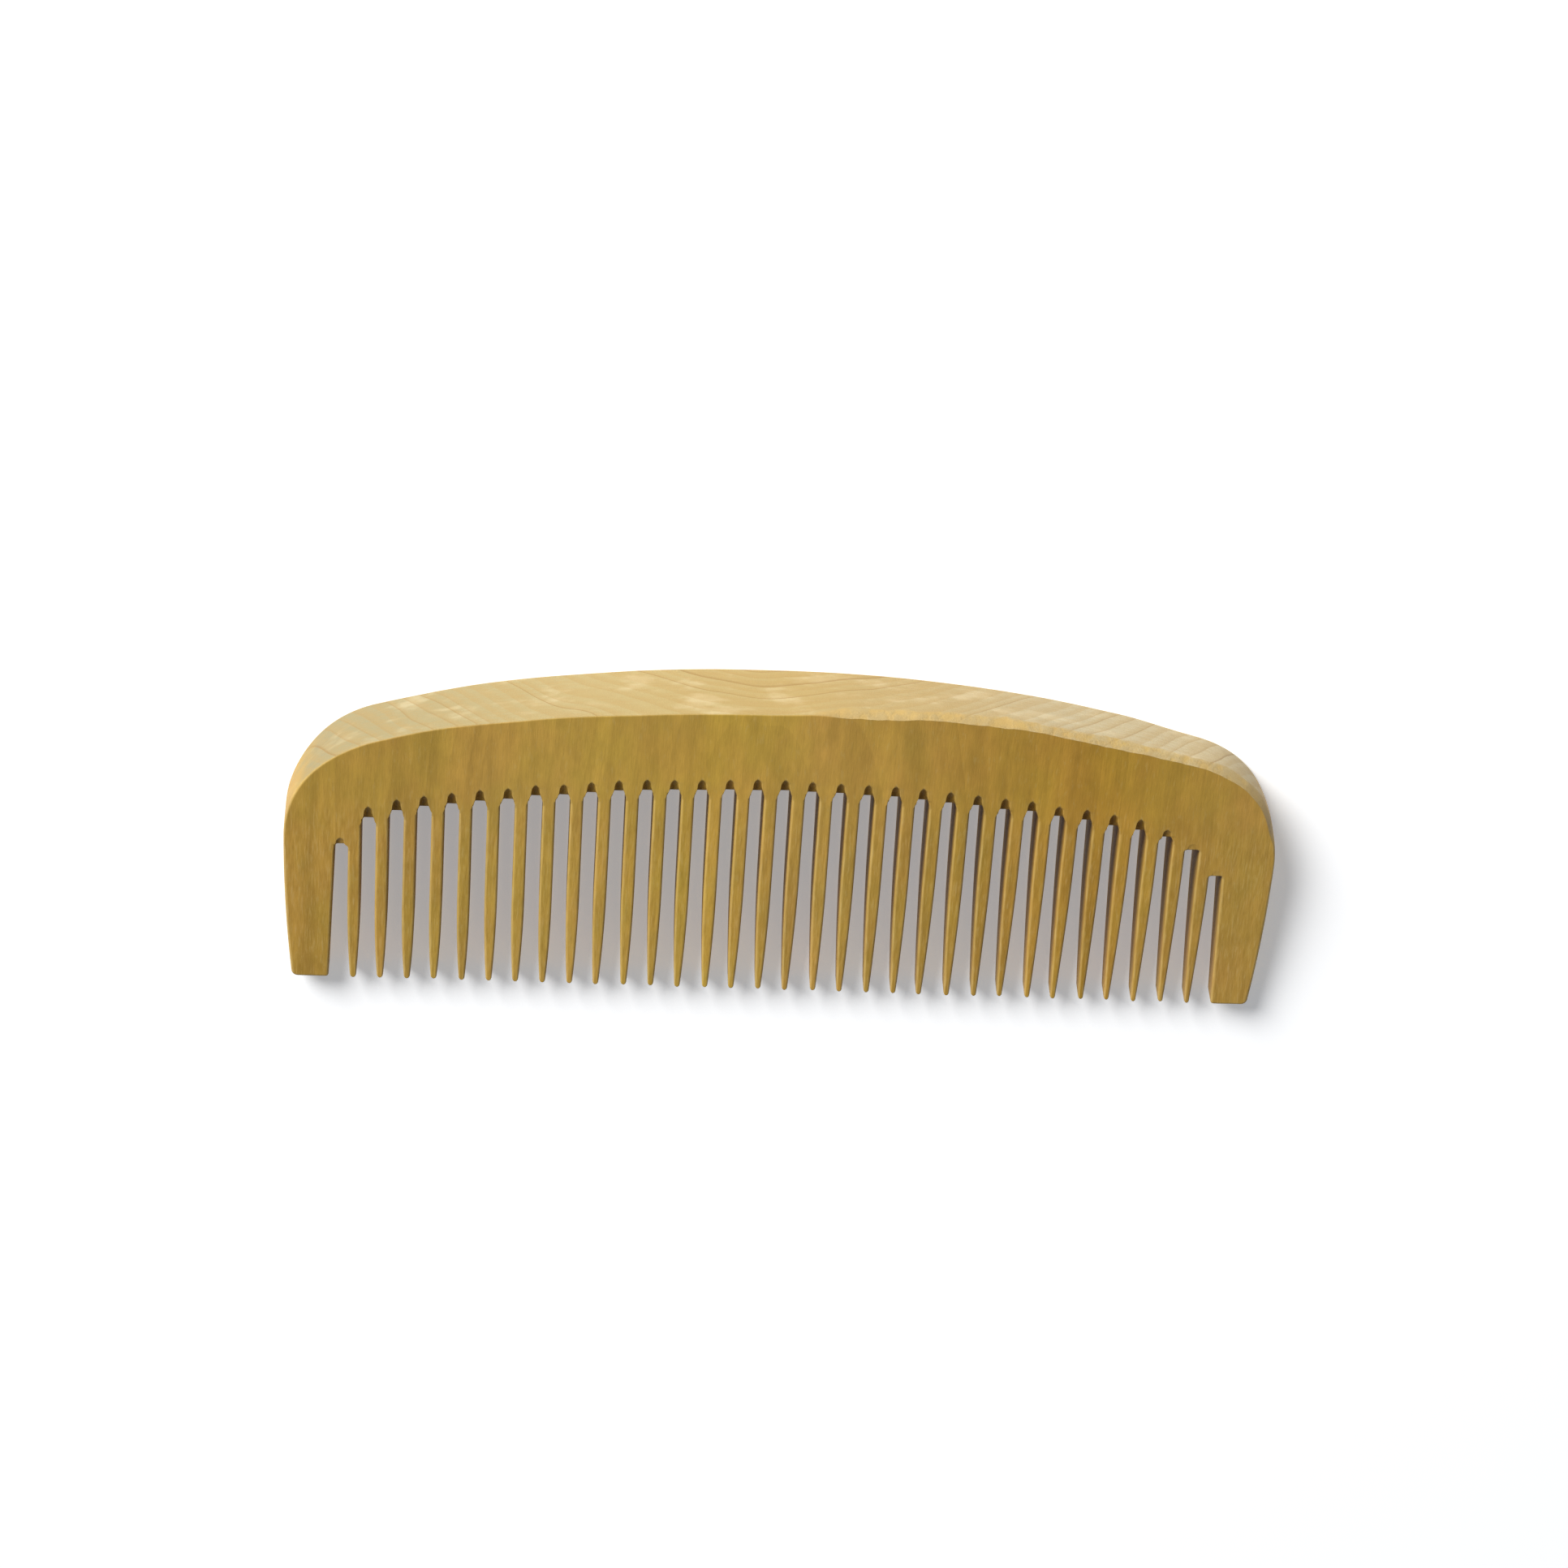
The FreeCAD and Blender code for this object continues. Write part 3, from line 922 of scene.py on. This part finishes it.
def side_grain(n, grain, along, y, growth, line):
    """The colour of a cut along the fibres, with more contrast between them on the teeth."""
    shades = (
        n.between(grain.fibre, 0.25, 0.75, 0.95, 1.05),
        n.between(grain.fine, 0.25, 0.75, 0.97, 1.03),
        n.between(grain.streak, 0.28, 0.72, 0.95, 1.05),
        n.between(grain.mottle, 0.28, 0.72, 0.94, 1.07),
        n.between(grain.bands, 0.30, 0.70, 0.90, 1.08),
        n.between(growth, 0.0, 1.0, 1.02, 0.965),
    )
    shade = shades[0]
    for other in shades[1:]:
        shade = n.math("MULTIPLY", shade, other)
    grey = n.add("ShaderNodeCombineColor", {0: shade, 1: shade, 2: shade}).outputs[0]
    colour = n.mix(1.0, n.ramp(along, SIDE_COLOURS), grey, "MULTIPLY")
    on_teeth = n.between(y, ROOT_HEIGHT - 8, ROOT_HEIGHT + 2, 1.0, 0.0)
    pale = n.math("MULTIPLY", on_teeth, n.between(grain.fibre, 0.50, 0.72, 0.0, 0.40))
    dark = n.math("MULTIPLY", on_teeth, n.between(grain.fibre, 0.28, 0.50, 0.34, 0.0))
    colour = n.mix(pale, colour, PALE_FIBRE)
    colour = n.mix(dark, colour, DARK_FIBRE)
    colour = n.mix(1.0, colour, n.ramp(grain.tint, TINTS), "MULTIPLY")
    colour = n.mix(n.math("MULTIPLY", line, 0.10), colour, SIDE_LINE)
    colour = n.mix(n.math("MULTIPLY", grain.flecks, 0.20), colour, FLECK)
    return n.mix(n.between(grain.blotch, 0.5, 0.8, 0.0, 0.22), colour, BLOTCH)


def lit_end_grain_colour(n, grain, along, growth, line):
    """The colour of the back, cut across the fibres: pores, sanding marks, pale patches and growth rings, on
    a pale cream that paints the light and sheen falling on the back.
    """
    colour = n.ramp(along, LIT_END_GRAIN_COLOURS)
    colour = n.mix(n.between(grain.pores, 0.35, 0.7, 0.0, 0.16), colour, PORE)
    colour = n.mix(n.between(grain.sanding, 0.36, 0.66, 0.0, 0.34), colour, SANDED)
    colour = n.mix(n.between(grain.patches, 0.50, 0.72, 0.0, 0.28), colour, PALE_PATCH)
    colour = n.mix(n.between(growth, 0.0, 1.0, 0.0, 0.30), colour, LATE_WOOD)
    return n.mix(n.math("MULTIPLY", line, 0.6), colour, END_LINE)


def lit_back_share(n, grain, rubbed):
    """How far a surface faces the back, which cuts across the fibres and is painted pale for the light and
    sheen on it: fully on the back, less where the facet is rubbed.
    """
    normal = n.add("ShaderNodeNewGeometry").outputs["Normal"]
    inputs = {0: normal, 1: (0, math.cos(TILT), math.sin(TILT))}
    facing = n.add("ShaderNodeVectorMath", inputs, operation="DOT_PRODUCT").outputs["Value"]
    ragged = n.math("MULTIPLY", n.math("SUBTRACT", grain.mottle, 0.5), 0.5)
    share = n.between(n.math("ADD", facing, ragged), 0.22, 0.78)
    torn = n.between(grain.mottle, 0.38, 0.62, 0.15, 0.85)
    return n.math("MULTIPLY", share, n.math("SUBTRACT", 1.0, n.math("MULTIPLY", rubbed, torn)))


def make_wood():
    """Pale pear-like wood, its fibres along the teeth and its rings round a pith behind the board."""
    material = bpy.data.materials.new("comb_wood")
    material.use_nodes = True
    material.node_tree.nodes.clear()
    n = Nodes(material.node_tree)
    place = board_place(n)
    x, y, _ = n.add("ShaderNodeSeparateXYZ", {0: place}).outputs
    along = n.between(x, -HALF_LENGTH, HALF_LENGTH, kind="LINEAR")
    grain = grain_patterns(n, place)
    growth, line = growth_rings(n, place)
    wear_and_highlight = n.add("ShaderNodeAttribute", attribute_name="wear_and_highlight").outputs["Fac"]
    burn_and_shade = n.add("ShaderNodeAttribute", attribute_name="burn_and_shade").outputs["Fac"]
    rubbed = n.add("ShaderNodeAttribute", attribute_name="rubbed").outputs["Fac"]

    across = lit_back_share(n, grain, rubbed)
    sides = side_grain(n, grain, along, y, growth, line)
    # Surfaces facing the back take the pale end-grain colour, which paints the light and sheen on the back.
    colour = n.mix(across, sides, lit_end_grain_colour(n, grain, along, growth, line))
    colour = n.mix(n.math("MULTIPLY", rubbed, 0.55), colour, RUBBED_FACET)

    # Softened edges are painted pale, part wear and part painted highlight; the saw's ramps are brown with
    # scorching and painted shade, and the slot walls carry painted shade.
    worn = n.math("MULTIPLY", wear_and_highlight, n.between(grain.fibre, 0.3, 0.7, 0.20, 0.50))
    worn = n.math("MULTIPLY", worn, n.between(across, 0.0, 1.0, 1.0, 0.3))
    colour = n.mix(worn, colour, PALE_EDGE_AND_HIGHLIGHT)
    # Painted shade, with saw burn in the ramps, browns the ramps and the slot walls.
    colour = n.mix(n.math("MULTIPLY", burn_and_shade, 0.40), colour, SAW_BURN_AND_SHADE)

    uneven = n.math("ADD", n.math("MULTIPLY", grain.fibre, 0.6), n.math("MULTIPLY", grain.blotch, 0.4))
    rough = n.math("ADD", n.between(uneven, 0.3, 0.7, 0.46, 0.60), n.math("MULTIPLY", across, 0.12))

    # The relief of the fibres, and of rasp marks on the back, which are deeper right of the middle.
    relief = n.math("ADD", n.math("MULTIPLY", grain.fibre, 0.7), n.math("MULTIPLY", grain.fine, 0.3))
    rasped = n.math("ADD", grain.pores, n.math("MULTIPLY", grain.sanding, 2.0))
    rasped = n.math("MULTIPLY", rasped, across)
    relief = n.math("ADD", relief, n.math("MULTIPLY", rasped, n.between(x, 0.0, 15.0, 0.5, 1.3)))
    bump = n.add("ShaderNodeBump", {"Height": relief, "Strength": 0.4, "Distance": 0.00015}).outputs[0]
    inputs = {"Base Color": colour, "Roughness": rough, "Normal": bump, "Specular IOR Level": 0.35}
    surface = n.add("ShaderNodeBsdfPrincipled", inputs).outputs[0]
    n.add("ShaderNodeOutputMaterial", {"Surface": surface})
    return material


# ---------------------------------------------------------------- the scene

FLOOR_SIZE = 3.0
FLOOR_COLOUR = (0.9, 0.9, 0.9, 1)
AIM = Vector((-0.17, 11.28, 8.0)) * MM
CAMERA_DISTANCE = 818.7 * MM
CAMERA_AZIMUTH = math.radians(-173.53)
CAMERA_ELEVATION = math.radians(62.18)
CAMERA_ROLL = math.radians(176.16)
CAMERA_LENS = 125.17
FLOOR_GLOW = 0.31
FLOOR_TINT = (0.945, 0.98, 1.035, 1)
KEY_AZIMUTH = math.radians(-144)
KEY_ELEVATION = math.radians(32)
KEY_DISTANCE = 4.0
KEY_SIZE = 2.2
KEY_POWER = 238.0
SKY_STRENGTH = 0.11


def back_vector(azimuth, elevation):
    """The direction back to a camera or lamp from what it looks at. Azimuth 0 looks along +Y."""
    flat = math.cos(elevation)
    return Vector((math.sin(azimuth) * flat, -math.cos(azimuth) * flat, math.sin(elevation)))


def make_floor():
    mesh = bpy.data.meshes.new("floor")
    half = FLOOR_SIZE / 2
    corners = [(-half, -half, 0), (half, -half, 0), (half, half, 0), (-half, half, 0)]
    mesh.from_pydata(corners, [], [(0, 1, 2, 3)])
    floor = bpy.data.objects.new("floor", mesh)
    bpy.context.scene.collection.objects.link(floor)
    material = bpy.data.materials.new("pale_floor")
    material.use_nodes = True
    shader = material.node_tree.nodes["Principled BSDF"]
    shader.inputs["Base Color"].default_value = FLOOR_COLOUR
    shader.inputs["Roughness"].default_value = 1.0
    shader.inputs["Specular IOR Level"].default_value = 0.0
    shader.inputs["Emission Color"].default_value = FLOOR_TINT
    shader.inputs["Emission Strength"].default_value = FLOOR_GLOW
    mesh.materials.append(material)


def make_camera():
    data = bpy.data.cameras.new("camera")
    data.lens = CAMERA_LENS
    data.clip_start = 0.01
    camera = bpy.data.objects.new("camera", data)
    back = back_vector(CAMERA_AZIMUTH, CAMERA_ELEVATION)
    camera.location = AIM + back * CAMERA_DISTANCE
    camera.rotation_mode = "QUATERNION"
    camera.rotation_quaternion = (-back).to_track_quat("-Z", "Y") @ Quaternion((0, 0, 1), CAMERA_ROLL)
    bpy.context.scene.collection.objects.link(camera)
    bpy.context.scene.camera = camera


def make_lamp(name, azimuth, elevation, distance, size, power):
    data = bpy.data.lights.new(name, "AREA")
    data.shape = "DISK"
    data.size = size
    data.energy = power
    lamp = bpy.data.objects.new(name, data)
    back = back_vector(azimuth, elevation)
    lamp.location = AIM + back * distance
    lamp.rotation_mode = "QUATERNION"
    lamp.rotation_quaternion = (-back).to_track_quat("-Z", "Y")
    bpy.context.scene.collection.objects.link(lamp)


def make_sky():
    world = bpy.data.worlds.new("sky")
    world.use_nodes = True
    background = world.node_tree.nodes["Background"]
    background.inputs["Color"].default_value = (1, 1, 1, 1)
    background.inputs["Strength"].default_value = SKY_STRENGTH
    bpy.context.scene.world = world
    bpy.context.scene.view_settings.view_transform = "Standard"


WOOD = make_wood()
COMB = Comb(draw_outline())
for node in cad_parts:
    make_piece(COMB, node, WOOD)
make_floor()
make_camera()
make_lamp("key", KEY_AZIMUTH, KEY_ELEVATION, KEY_DISTANCE, KEY_SIZE, KEY_POWER)
make_sky()
